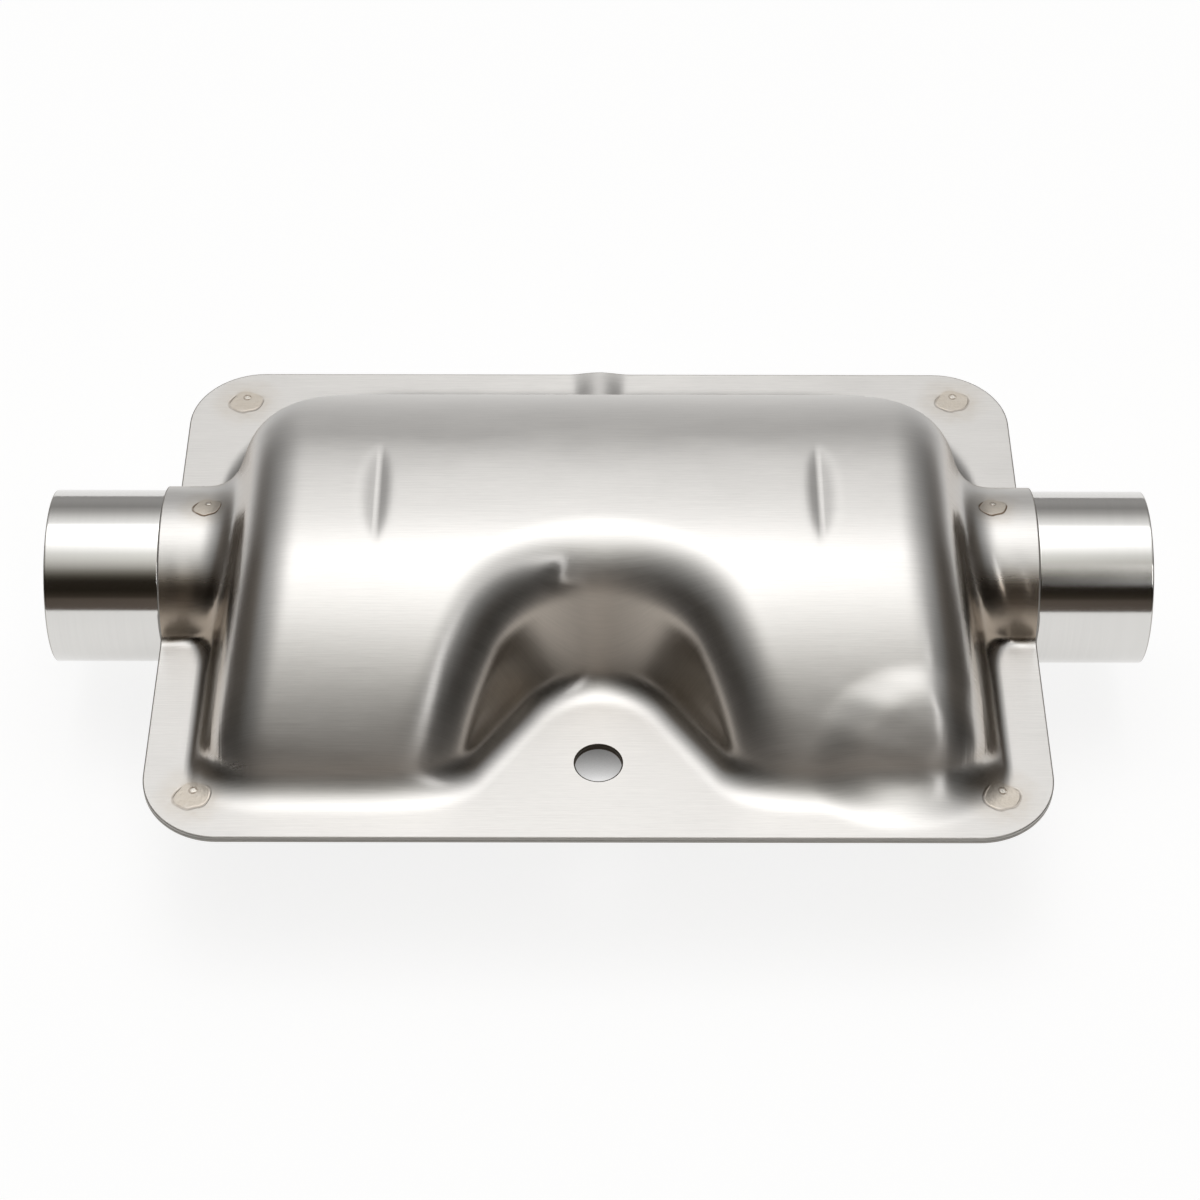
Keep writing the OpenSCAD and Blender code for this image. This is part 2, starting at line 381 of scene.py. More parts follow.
@dataclass
class HalfShell:
    """One deep-drawn half shell as a closed sheet with rounded edges."""

    form: Pressing
    stations: int = 240
    lines: int = 174
    station_samples: int = 2401
    station_front: float = 8.0
    line_samples: int = 1601
    grain_samples: int = 2001
    grain_x: float = 40.0
    edge_r: float = 0.09
    hole_rings: int = 7
    hole_margin: float = 2.0
    straight: float = 45.0
    # Steepness range, and the necks' extra, for the mask of painted shade and gloss on steep
    # walls.
    steep_shade_from: Tuple[float, float] = (0.24, 0.62)
    neck_bonus: float = 0.6
    neck_ease: float = 2.0
    marks: Tuple[Mark, ...] = ()
    welds: Tuple[Tuple[float, float, float], ...] = ()

    def outline_x(self, y: Array) -> Array:
        """Works out how far the flange reaches along the tube at each place across it.

        Half the flange's length, less what the corner's arc takes away: the radius less
        the root of its square minus the square of the distance past the arc's centre.
        """
        inset = 2.0 * self.edge_r
        r = self.form.flange_corner_r - inset
        reach = self.form.flange_depth / 2.0 - inset
        past = np.clip(np.abs(y - self.form.middle_y) - reach + r, 0.0, r)
        return self.form.flange_length / 2.0 - inset - r + np.sqrt(r * r - past * past)

    def fit_x(self, u: Array, y: Array) -> Array:
        """Draws the outer stations in, so that the last one follows the flange's outline."""
        end = self.form.flange_length / 2.0
        share = np.maximum(np.abs(u) - self.straight, 0.0) / (end - self.straight)
        reach = np.minimum(np.abs(u), self.straight)
        return np.sign(u) * (reach + share * (self.outline_x(y) - self.straight))

    def station_places(self) -> Array:
        """Works out the stations at equal steps along the sheet's middle line.

        Returns:
            The stations from end to end, mirrored about the middle.
        """
        end = self.form.flange_length / 2.0
        fine = np.linspace(0.0, end, self.station_samples)
        section = np.full_like(fine, self.form.middle_y - self.station_front)
        z = self.form.height(fine, section)
        run = np.concatenate([[0.0], np.cumsum(np.hypot(np.diff(fine), np.diff(z)))])
        half = np.interp(np.linspace(0.0, run[-1], self.stations // 2 + 1), run, fine)
        return np.concatenate([-half[:0:-1], half])

    def plan(self) -> Tuple[Array, Array]:
        """Works out the grid's places, at equal steps along each station's own section.

        Returns:
            x and y of each grid point, as grids.
        """
        inset = 2.0 * self.edge_r
        u = self.station_places()[:, None]
        half = self.form.flange_depth / 2.0 - inset
        turn = np.linspace(0.0, math.pi, self.line_samples)[None, :]
        fine = self.form.middle_y - half * np.cos(turn)
        x = self.fit_x(u, fine)
        y = np.broadcast_to(fine, x.shape)
        z = self.form.height(x, y)
        step = np.sqrt(np.diff(x) ** 2 + np.diff(y) ** 2 + np.diff(z) ** 2)
        run = np.concatenate([np.zeros((len(u), 1)), np.cumsum(step, axis=1)], axis=1)
        share = np.linspace(0.0, 1.0, self.lines + 1)
        rows = [np.interp(share * r[-1], r, fine[0]) for r in run]
        grid_y = np.array(rows)
        return self.fit_x(u, grid_y), grid_y

    def beyond_ends(self, x: Array) -> Array:
        """Returns 0 over the chamber and 1 over the necks."""
        past = np.abs(x) - self.form.chamber_length / 2.0
        return ease(past / self.neck_ease + 1.0)

    def details(self, x: Array, y: Array) -> Array:
        """Returns the sum of what the marks add to the sheet's height."""
        total = np.zeros_like(x)
        for mark in self.marks:
            total = total + mark.offset(x, y)
        return total

    def faces(self, nx: int, ny: int, hole: Tuple[int, int, int, int]) -> Array:
        """Works out the grid's faces, without the block round the hole.

        Args:
            nx: number of stations.
            ny: number of lines.
            hole: first and last station and line of the block.

        Returns:
            The four-sided faces, counter-clockwise from above.
        """
        i, j = np.meshgrid(np.arange(nx - 1), np.arange(ny - 1), indexing="ij")
        i0, i1, j0, j1 = hole
        keep = ~((i >= i0) & (i < i1) & (j >= j0) & (j < j1))
        a = (i * ny + j)[keep]
        return np.stack([a, a + ny, a + ny + 1, a + 1], axis=1)

    def block_loop(self, ny: int, hole: Tuple[int, int, int, int]) -> Array:
        """Returns the indices round a block of the grid, counter-clockwise from above."""
        i0, i1, j0, j1 = hole
        return np.concatenate([
            np.arange(i0, i1) * ny + j0,
            i1 * ny + np.arange(j0, j1),
            np.arange(i1, i0, -1) * ny + j1,
            i0 * ny + np.arange(j1, j0, -1),
        ])

    def build(self, name: str, half: Half) -> bpy.types.Object:
        """Builds the closed sheet and sets it into the frame.

        The outer and inner faces share their places in plan. Round the hole a block of the
        grid gives way to rings that blend from the block's rim to the hole's circle. The
        flange's edge and the hole's edge are closed by strips with rounded corners.

        Args:
            name: the piece's name.
            half: which way the shell lies.

        Returns:
            The shell's object.
        """
        x, y = self.plan()
        nx, ny = x.shape
        size = self.form.hole_r + self.hole_margin
        mid = nx // 2
        i0 = int(np.searchsorted(x[:, 0], -size))
        j0 = int(np.searchsorted(y[mid], self.form.hole_y - size))
        j1 = int(np.searchsorted(y[mid], self.form.hole_y + size))
        hole = (i0, nx - 1 - i0, j0, j1)
        block = self.block_loop(ny, hole)
        px, py = x.ravel(), y.ravel()

        inset_r = self.form.hole_r + 2.0 * self.edge_r
        angle = np.arctan2(py[block] - self.form.hole_y, px[block])
        circle = np.stack([inset_r * np.cos(angle), self.form.hole_y + inset_r * np.sin(angle)])
        rim = np.stack([px[block], py[block]])
        t = (np.arange(1, self.hole_rings + 1) / self.hole_rings)[:, None, None]
        rings = rim[None] * (1.0 - t) + circle[None] * t
        count = len(block)
        base = nx * ny
        first = np.concatenate([block[None], base + np.arange(self.hole_rings * count).reshape(
            self.hole_rings, count)])
        nxt = np.roll(first, -1, axis=1)
        ring_quads = np.stack([first[:-1], nxt[:-1], nxt[1:], first[1:]], axis=-1).reshape(-1, 4)
        ring_quads = ring_quads[:, ::-1]
        px = np.concatenate([px, rings[:, 0].ravel()])
        py = np.concatenate([py, rings[:, 1].ravel()])

        shift = self.details(px, py)
        z = self.form.height(px, py)
        # The steepness mask paints shade on steep walls and also sets their gloss and draw lines.
        low, high = self.steep_shade_from
        steep = self.form.steepness(px, py, z) * (1.0 + self.neck_bonus * self.beyond_ends(px))
        steep = ease((steep - low) / (high - low))
        outer = np.stack([px, py, z + shift], axis=1)
        inner = np.stack([px, py, self.form.height(px, py, self.form.sheet) + shift], axis=1)
        quads = np.concatenate([self.faces(nx, ny, hole), ring_quads])
        edge = self.block_loop(ny, (0, nx - 1, 0, ny - 1))
        rim_loop = first[-1][::-1]
        flat = np.stack([px, self.run_across(py)], axis=1)
        points, flat, strips = self.close(outer, inner, flat, (edge, rim_loop))
        total = len(px)
        drawn = np.concatenate([steep, steep, np.zeros(len(points) - 2 * total)])
        lower = quads[:, ::-1] + total
        everything = np.concatenate([quads, lower, strips])
        used = np.unique(everything)
        renumber = np.zeros(len(points), dtype=np.int64)
        renumber[used] = np.arange(len(used))
        points, flat = points[used], flat[used]
        sign = float(half.value)
        faces = renumber[everything]
        beside = self.beside_welds(points[:, :2], faces)
        points = points * np.array([sign, 1.0, sign])
        points = points + np.array([0.0, -self.form.middle_y, self.form.chamber_height])
        layers = {FLAT_MAP: flat[faces] * MM, WELD_MAP: beside}
        round_hole = len(strips) * len(rim_loop) // (len(rim_loop) + len(edge))
        counts = [2 * len(quads), len(strips) - round_hole, round_hole]
        masks = {
            CUT_MASK: ("FACE", np.repeat([0.0, EDGE_CUT, HOLE_CUT], counts)),
            STEEP_SHADE_GLOSS_MASK: ("POINT", drawn[used]),
        }
        return write_mesh(name, points * MM, faces, layers, masks)

    def beside_welds(self, plan: Array, faces: Array) -> Array:
        """Works out each face corner's place beside its nearest weld, in the weld's radii.

        Args:
            plan: places in plan, n by 2.
            faces: m by 4 indices.

        Returns:
            The places, m by 4 by 2.
        """
        spots = np.array(self.welds)
        middle = plan[faces].mean(axis=1)
        away = np.linalg.norm(middle[:, None, :] - spots[None, :, :2], axis=2)
        nearest = spots[np.argmin(away, axis=1)][:, None, :]
        return (plan[faces] - nearest[..., :2]) / nearest[..., 2:]

    def run_across(self, y: Array) -> Array:
        """Returns the run along the section beside the grooves, up to each y."""
        fine = np.linspace(self.form.front_y, self.form.back_y, self.grain_samples)
        z = self.form.height(np.full_like(fine, self.grain_x), fine)
        run = np.concatenate([[0.0], np.cumsum(np.hypot(np.diff(fine), np.diff(z)))])
        return np.interp(y, fine, run)

    def close(
        self,
        outer: Array,
        inner: Array,
        flat: Array,
        loops: Sequence[Array],
    ) -> Tuple[Array, Array, Array]:
        """Closes the sheet along its edges with strips that round both corners.

        Each edge point steps outwards in plan and down through the sheet: level, over the
        upper corner's arc, down the cut face, round the lower corner and level again.

        Args:
            outer: points of the outer face.
            inner: points of the inner face.
            flat: places on the flat sheet.
            loops: indices of each edge, with the sheet on the left seen from above.

        Returns:
            All points, all places on the flat sheet, and the strips' faces.
        """
        e = self.edge_r
        bend = 1.0 - math.sqrt(0.5)
        steps = [(e, 0.0), (e + e * math.sqrt(0.5), e * bend), (2.0 * e, e)]
        points, flats, strips = [outer, inner], [flat, flat], []
        total = 2 * len(outer)
        for loop in loops:
            a, b = outer[loop], inner[loop]
            ahead = np.roll(a, -1, axis=0) - np.roll(a, 1, axis=0)
            out = np.stack([ahead[:, 1], -ahead[:, 0], np.zeros(len(a))], axis=1)
            out /= np.linalg.norm(out, axis=1, keepdims=True)
            through = b - a
            through /= np.linalg.norm(through, axis=1, keepdims=True)
            path = [a + out * w + through * d for w, d in steps]
            path += [b + out * w - through * d for w, d in reversed(steps)]
            n = len(loop)
            rows = [loop]
            for k, ring in enumerate(path):
                points.append(ring)
                flats.append(flat[loop] + out[:, :2] * (k + 1) * e)
                rows.append(total + np.arange(n))
                total += n
            rows.append(loop + len(outer))
            for upper_row, lower_row in zip(rows, rows[1:]):
                strips.append(np.stack([
                    upper_row, lower_row, np.roll(lower_row, -1), np.roll(upper_row, -1),
                ], axis=1))
        return np.concatenate(points), np.concatenate(flats), np.concatenate(strips)


@dataclass
class ThroughTube:
    """The tube that runs through the muffler, with sized and polished hose ends."""

    setback: float
    rise: float
    radius: float = 12.0
    waist_r: float = 11.8
    wall: float = 1.0
    length: float = 151.2
    hose_end: float = 15.6
    edge_r: float = 0.18
    edge_steps: int = 5
    shoulder_r: float = 0.05
    shoulder_band: float = 0.3
    steps: int = 20
    step_gap: float = 1.0
    bore_gap: float = 4.0
    sides: int = 256
    perforation_r: float = 1.75
    perforation_sides: int = 40
    pitch: float = 8.0
    count: int = 6
    span: float = 83.4

    def profile(self) -> Array:
        """Works out the closed section of the wall as pairs of place and radius.

        From the left end's bore round its rounded edges, along the hose end, down the
        shoulder to the waist, along it, and mirrored to the right, then back in the bore.

        Returns:
            n by 2 pairs, in order.
        """
        half, e, steps = self.length / 2.0, self.edge_r, self.steps
        turn = np.linspace(0.0, math.pi / 2.0, self.edge_steps)
        bore = self.radius - self.wall
        inner_edge = np.stack([-half + e - e * np.sin(turn), bore + e - e * np.cos(turn)], axis=1)
        outer_edge = np.stack([-half + e - e * np.cos(turn), self.radius - e + e * np.sin(turn)],
                              axis=1)
        shoulder = -half + self.hose_end
        land = np.array([
            [-half + 2.0 * e, self.radius],
            [shoulder - self.shoulder_band, self.radius],
            [shoulder - self.shoulder_r, self.radius],
            [shoulder, self.radius - self.shoulder_r],
            [shoulder, self.waist_r],
            [shoulder + self.shoulder_band, self.waist_r],
        ])
        waist = np.linspace(shoulder + self.step_gap, -self.step_gap, steps)
        left = np.concatenate([
            [[-half + 2.0 * e, bore]], inner_edge, outer_edge, land,
            np.stack([waist, np.full(steps, self.waist_r)], axis=1),
        ])
        right = left[::-1] * np.array([-1.0, 1.0])
        back = np.linspace(half - self.bore_gap, -half + self.bore_gap, 2 * steps)
        return np.concatenate([left, right, np.stack([back, np.full(2 * steps, bore)], axis=1)])

    def build(self, name: str) -> bpy.types.Object:
        """Turns the section about the tube's axis and drills the perforations.

        The axis lies the setback behind the frame's middle and the rise above the floor.

        Args:
            name: the piece's name.

        Returns:
            The tube's object.
        """
        section = self.profile()
        ahead = np.roll(section, -1, axis=0) - section
        run = np.concatenate([[0.0], np.cumsum(np.hypot(ahead[:, 0], ahead[:, 1]))])
        turn = np.linspace(0.0, 2.0 * math.pi, self.sides, endpoint=False)
        x = np.repeat(section[:, :1], self.sides, axis=1)
        y = section[:, 1:] * np.cos(turn)[None, :]
        z = section[:, 1:] * np.sin(turn)[None, :]
        points = np.stack([x, y + self.setback, z + self.rise], axis=-1).reshape(-1, 3)
        n, m = len(section), self.sides
        i, j = np.meshgrid(np.arange(n), np.arange(m), indexing="ij")
        a, b = i * m + j, ((i + 1) % n) * m + j
        c, d = ((i + 1) % n) * m + (j + 1) % m, i * m + (j + 1) % m
        quads = np.stack([a, b, c, d], axis=-1).reshape(-1, 4)
        arc = turn[1] * self.radius
        corners = [(run[i], j * arc), (run[i + 1], j * arc),
                   (run[i + 1], (j + 1) * arc), (run[i], (j + 1) * arc)]
        flat = np.stack([np.stack(corner, axis=-1) for corner in corners], axis=2)
        layers = {FLAT_MAP: flat.reshape(-1, 4, 2) * MM}
        at_end = np.abs(section[:, 0]) > self.length / 2.0 - 1.5 * self.edge_r
        cut = EDGE_CUT * np.repeat(at_end & np.roll(at_end, -1), m)
        masks = {CUT_MASK: ("FACE", cut)}
        tube = write_mesh(name, points * MM, quads, layers, masks)
        self.drill(tube)
        return tube

    def drill(self, tube: bpy.types.Object) -> None:
        """Cuts the perforations, each pair with one rod through the tube.

        Args:
            tube: the tube's object, whose mesh is changed.
        """
        rods = bmesh.new()
        rings = int(self.span / self.pitch)
        for ring in range(rings + 1):
            for k in range(self.count // 2):
                angle = (k + (ring % 2) / 2.0) * 2.0 * math.pi / self.count
                along = (ring - rings / 2.0) * self.pitch
                place = Vector((along, self.setback, self.rise)) * MM
                bmesh.ops.create_cone(
                    rods, cap_ends=True, segments=self.perforation_sides,
                    depth=2.0 * (self.radius + self.wall) * MM,
                    radius1=self.perforation_r * MM, radius2=self.perforation_r * MM,
                    matrix=Matrix.Translation(place) @ Matrix.Rotation(angle, 4, "X"),
                )
        mesh = bpy.data.meshes.new("rods")
        rods.to_mesh(mesh)
        rods.free()
        cutter = new_object("rods", mesh)
        cut = tube.modifiers.new("perforations", "BOOLEAN")
        cut.operation, cut.solver, cut.object = "DIFFERENCE", "EXACT", cutter
        graph = bpy.context.evaluated_depsgraph_get()
        drilled = bpy.data.meshes.new_from_object(tube.evaluated_get(graph))
        tube.modifiers.clear()
        tube.data = drilled
        drilled.set_sharp_from_angle(angle=SHARP_ANGLE)
        bpy.data.objects.remove(cutter)
        bpy.data.meshes.remove(mesh)


@dataclass(frozen=True)
class Noise:
    """One layer of noise: its scale for each axis, its detail and its roughness."""

    scale: Tuple[float, float, float]
    detail: float
    roughness: float = 0.5


class Graph:
    """Small helpers that add and join nodes in one tree."""

    def __init__(self, tree: Tree) -> None:
        """Takes the tree that the helpers work on."""
        self.nodes = tree.nodes
        self.links = tree.links

    def add(self, kind: str, **values: object) -> bpy.types.Node:
        """Adds a node, sets its properties and returns it."""
        node = self.nodes.new(kind)
        for key, value in values.items():
            setattr(node, key, value)
        return node

    def put(self, target: Socket, value: Value) -> None:
        """Joins a socket to the target, or sets the target's own value."""
        if isinstance(value, Socket):
            self.links.new(value, target)
        else:
            target.default_value = value

    def fill(self, node: bpy.types.Node, values: Dict[str, Value]) -> None:
        """Joins or sets several inputs of a node by their names."""
        for key, value in values.items():
            self.put(node.inputs[key], value)

    def use(self, group: Tree, place: Value) -> bpy.types.NodeOutputs:
        """Adds a shared group over a place and returns its outputs."""
        node = self.add("ShaderNodeGroup", node_tree=group)
        self.put(node.inputs["Place"], place)
        return node.outputs

    def axes(self, place: Value) -> bpy.types.NodeOutputs:
        """Takes a place apart into X, Y and Z."""
        node = self.add("ShaderNodeSeparateXYZ")
        self.put(node.inputs[0], place)
        return node.outputs

    def math(self, operation: str, *values: Value) -> Socket:
        """Adds a Math node over up to three values and returns its result."""
        node = self.add("ShaderNodeMath", operation=operation)
        for target, value in zip(node.inputs, values):
            self.put(target, value)
        return node.outputs[0]

    def times(self, a: Value, b: Value) -> Socket:
        """Returns the product of two numbers."""
        return self.math("MULTIPLY", a, b)

    def sway(self, value: Value, noise: Value, strength: float, usual: float = 0.5) -> Socket:
        """Returns the value plus the strength times what the noise is above its usual."""
        steady = self.math("SUBTRACT", value, usual * strength)
        return self.math("MULTIPLY_ADD", noise, strength, steady)

    def vector(self, operation: str, *values: Value) -> Socket:
        """Adds a Vector Math node and returns its vector, or its number for a length."""
        node = self.add("ShaderNodeVectorMath", operation=operation)
        for target, value in zip(node.inputs, values):
            self.put(target, value)
        return node.outputs["Value" if operation in ("LENGTH", "DISTANCE") else "Vector"]

    def noise(self, place: Value, layer: Noise) -> Socket:
        """Returns noise from 0 to 1 over a place that is stretched along each axis."""
        node = self.add("ShaderNodeTexNoise", noise_dimensions="3D")
        stretched = self.vector("MULTIPLY", place, layer.scale)
        self.fill(node, {"Vector": stretched, "Scale": 1.0, "Detail": layer.detail,
                         "Roughness": layer.roughness})
        return node.outputs[0]

    def span(self, value: Value, low: float, high: float, first: float = 0.0,
             last: float = 1.0) -> Socket:
        """Eases from the first number to the last while the value goes from low to high."""
        node = self.add("ShaderNodeMapRange", interpolation_type="SMOOTHSTEP")
        self.fill(node, {"Value": value, "From Min": low, "From Max": high,
                         "To Min": first, "To Max": last})
        return node.outputs[0]

    def fade(self, value: Value, low: float, high: float) -> Socket:
        """Eases from 1 to 0 while the value goes from low to high."""
        return self.span(value, low, high, 1.0, 0.0)

    def blend(self, share: Value, a: Value, b: Value, how: str = "MIX") -> Socket:
        """Mixes two colours and returns the result."""
        node = self.add("ShaderNodeMix", data_type="RGBA", blend_type=how)
        self.put(node.inputs["Factor"], share)
        for target, value in ((node.inputs["A"], a), (node.inputs["B"], b)):
            self.put(target, (*value, 1.0) if isinstance(value, tuple) else value)
        return node.outputs["Result"]


def new_group(name: str, outputs: Sequence[str]) -> Tuple[Tree, Graph, Value]:
    """Starts a shared shader group that takes a place and gives numbers.

    Args:
        name: the group's name.
        outputs: names of its outputs.

    Returns:
        The group, its helpers and the socket of the place.
    """
    tree = bpy.data.node_groups.new(name, "ShaderNodeTree")
    tree.interface.new_socket(name="Place", in_out="INPUT", socket_type="NodeSocketVector")
    for output in outputs:
        tree.interface.new_socket(name=output, in_out="OUTPUT", socket_type="NodeSocketFloat")
    graph = Graph(tree)
    start = graph.add("NodeGroupInput")
    graph.add("NodeGroupOutput")
    return tree, graph, start.outputs["Place"]


@dataclass(frozen=True)
class FineMarks:
    """Fine lines and smudges in a face, and how far they change its shade, gloss and height."""

    name: str
    lines: Tuple[Tuple[Noise, float], ...]
    smudge: Noise
    line_height: float
    line_shade: float
    smudge_matt: float
    smudge_shade: float = 0.0
    line_matt: float = 0.0

    def group(self) -> Tree:
        """Builds the marks over the flat map: each noise moves the shade and the gloss.

        Returns:
            The group, with Shade about 1, Matt about 0 and Height in metres.
        """
        tree, graph, place = new_group(self.name, ("Shade", "Matt", "Height"))
        lines: Value = 0.0
        for layer, share in self.lines:
            lines = graph.math("MULTIPLY_ADD", graph.noise(place, layer), share, lines)
        usual = sum(share for _, share in self.lines) / 2.0
        smudge = graph.noise(place, self.smudge)
        shade = graph.sway(1.0, lines, self.line_shade, usual)
        matt = graph.sway(0.0, smudge, self.smudge_matt)
        graph.fill(graph.nodes["Group Output"], {
            "Shade": graph.sway(shade, smudge, self.smudge_shade),
            "Matt": graph.math("MULTIPLY_ADD", lines, self.line_matt, matt),
            "Height": graph.times(lines, self.line_height),
        })
        return tree


ROLLED_GRAIN = FineMarks(
    name="rolled_grain",
    lines=((Noise((110.0, 5200.0, 1.0), 3.0, 0.6), 1.0), (Noise((520.0, 8200.0, 1.0), 2.0), 0.6)),
    smudge=Noise((45.0, 75.0, 1.0), 4.0, 0.6),
    line_height=3.0e-6,
    line_shade=0.22,
    smudge_matt=0.12,
    smudge_shade=0.14,
    line_matt=0.05,
)
TURNED_MARKS = FineMarks(
    name="turned_marks",
    lines=((Noise((5200.0, 35.0, 1.0), 3.0, 0.6), 1.0),),
    smudge=Noise((70.0, 50.0, 1.0), 3.0, 0.6),
    line_height=1.0e-6,
    line_shade=0.08,
    smudge_matt=0.08,
)


@dataclass(frozen=True)
class DrawLines:
    """Long ridges in the end walls and wrinkles in the necks, with their places in metres."""

    ridges: Noise = Noise((1300.0, 30.0, 1.0), 2.0)
    wrinkles: Noise = Noise((260.0, 330.0, 1.0), 2.0)
    ends: Pair = (0.043, 0.048)
    necks: Pair = (0.050, 0.0535)
    height: float = 8.0e-5

    def group(self) -> Tree:
        """Builds the draw lines over the flat map.

        Returns:
            The group, with Ends from 0 over the crown to 1 at the end walls and beyond, Necks
            the same for the necks alone, and Height in metres, which is zero elsewhere.
        """
        tree, graph, place = new_group("draw_lines", ("Ends", "Necks", "Height"))
        along = graph.math("ABSOLUTE", graph.axes(place)[0])
        ends = graph.span(along, *self.ends)
        necks = graph.span(along, *self.necks)
        walls = graph.math("SUBTRACT", ends, necks)
        wrinkles = graph.times(graph.noise(place, self.wrinkles), ends)
        lines = graph.math("MULTIPLY_ADD", graph.noise(place, self.ridges), walls, wrinkles)
        graph.fill(graph.nodes["Group Output"], {
            "Ends": ends, "Necks": necks, "Height": graph.times(lines, self.height),
        })
        return tree


@dataclass(frozen=True)
class WeldMark:
    """A spot weld's mark: its noises, its parts' limits in its radii, and heights in metres.

    The two numbers of nugget_bend are the noise's strength and its usual value.
    """

    wobble: Noise = Noise((0.9, 0.9, 1.0), 0.0)
    clouds: Noise = Noise((1.1, 1.6, 4.0), 3.0, 0.6)
    breaks: Noise = Noise((0.9, 0.9, 7.0), 1.0)
    speck: Noise = Noise((4.5, 4.5, 1.0), 3.0, 0.6)
    squash: Tuple[float, float, float] = (1.0, 1.06, 0.0)
    bend: float = 0.6
    halo: Pair = (0.8, 2.6)
    inside: Pair = (0.85, 1.1)
    inside_film: float = 0.5
    rim_half: Pair = (0.02, 0.11)
    rim_breaks: Pair = (0.32, 0.48)
    rim_open: Pair = (0.35, 0.75)
    nugget_place: Tuple[float, float, float] = (0.06, 0.40, 0.0)
    nugget_bend: Pair = (0.25, 0.48)
    nugget: Pair = (0.10, 0.19)
    ring_r: float = 0.20
    ring_half: Pair = (0.02, 0.09)
    ring_breaks: Pair = (0.36, 0.5)
    rough_fade: Pair = (0.7, 1.3)
    nugget_height: float = 6.0e-6
    rim_height: float = -2.5e-5
    rough_height: float = 3.0e-5

    def group(self) -> Tree:
        """Builds the mark about the place's zero.

        The distance q from the middle is bent by noise, so its line at 1 is uneven. Film is
        the heat tint, half strong inside and fading in clouds outside. Rim is a thin dark
        line at 1 that breaks off and stays open at the back. Core is the small nugget behind
        the middle and Ring the dark line round it.

        Returns:
            The group, with Film, Rim, Core and Ring from 0 to 1 and Height in metres.
        """
        tree, graph, place = new_group("weld_mark", ("Film", "Rim", "Core", "Ring", "Height"))
        speck = graph.noise(place, self.speck)
        q = graph.vector("LENGTH", graph.vector("MULTIPLY", place, self.squash))
        q = graph.sway(q, graph.noise(place, self.wobble), self.bend)
        core = graph.vector("DISTANCE", place, self.nugget_place)
        core = graph.sway(core, speck, *self.nugget_bend)
        halo = graph.times(graph.fade(q, *self.halo), graph.noise(place, self.clouds))
        inside = graph.span(q, *self.inside, self.inside_film, 0.0)
        edge = graph.math("ABSOLUTE", graph.math("SUBTRACT", q, 1.0))
        shut = graph.times(graph.span(graph.noise(place, self.breaks), *self.rim_breaks),
                           graph.fade(graph.axes(place)[1], *self.rim_open))
        rim = graph.times(graph.fade(edge, *self.rim_half), shut)
        nugget = graph.fade(core, *self.nugget)
        ring = graph.math("ABSOLUTE", graph.math("SUBTRACT", core, self.ring_r))
        ring = graph.times(graph.fade(ring, *self.ring_half),
                           graph.span(speck, *self.ring_breaks))
        rough = graph.times(graph.fade(q, *self.rough_fade), speck)
        height = graph.times(rim, self.rim_height)
        height = graph.math("MULTIPLY_ADD", nugget, self.nugget_height, height)
        height = graph.math("MULTIPLY_ADD", rough, self.rough_height, height)
        graph.fill(graph.nodes["Group Output"], {
            "Film": graph.math("ADD", inside, halo), "Rim": rim, "Core": nugget, "Ring": ring,
            "Height": height,
        })
        return tree


@dataclass(frozen=True)
class SteelFinish:
    """How one steel face looks."""

    name: str
    colour: Colour
    roughness: float
    anisotropy: float = 0.0
    blur_turn: float = 0.0


PRESSED = SteelFinish("pressed_steel", (0.665, 0.65, 0.63), 0.30, 0.84, 0.25)
POLISHED = SteelFinish("polished_steel", (0.69, 0.68, 0.66), 0.14, 0.6)
INNER = SteelFinish("inner_steel", (0.45, 0.44, 0.42), 0.45)
JOINT_HEIGHT = 0.0206
NECK_RISE: Pair = (0.006, 0.009)
FLANGE_RIM = 0.35
RING_SHARE = 0.7
NUGGET_HEIGHT = 5.0e-5
NUGGET_GLOSS = -0.10
FILM: Colour = (0.84, 0.78, 0.70)
RIM: Colour = (0.17, 0.12, 0.08)
NUGGET: Colour = (0.80, 0.76, 0.69)
# Cut edges are darker: partly the rough cut steel, partly painted shade beneath the edge.
CUT_STEEL_AND_SHADE: Colour = (0.42, 0.40, 0.37)
CUT_SHARE = 0.8
CUT_MATT = 0.4
# Painted shade: the hole's cut faces are near black, standing in for the shadow inside the hole.
HOLE_PAINTED_SHADE: Colour = (0.09, 0.075, 0.06)
# Painted shade: steep walls darker and browner than level steel, the necks' walls darker still.
STEEP_WALL_SHADE: Colour = (0.71, 0.65, 0.585)
NECK_SHADE: Colour = (0.74, 0.70, 0.65)
DRAWN_GLOSS: Pair = (0.03, 0.10)
MILL = Noise((300.0, 120.0, 120.0), 3.0, 0.6)
MILL_SPREAD: Pair = (0.2, 0.8)
MILL_SHADE: Pair = (0.86, 1.08)
MILL_MATT = 0.14


def new_material(name: str) -> Tuple[bpy.types.Material, Graph, bpy.types.Node]:
    """Starts a material and returns it with its helpers and its Principled shader."""
    material = bpy.data.materials.new(name)
    material.use_nodes = True
    graph = Graph(material.node_tree)
    return material, graph, graph.nodes["Principled BSDF"]


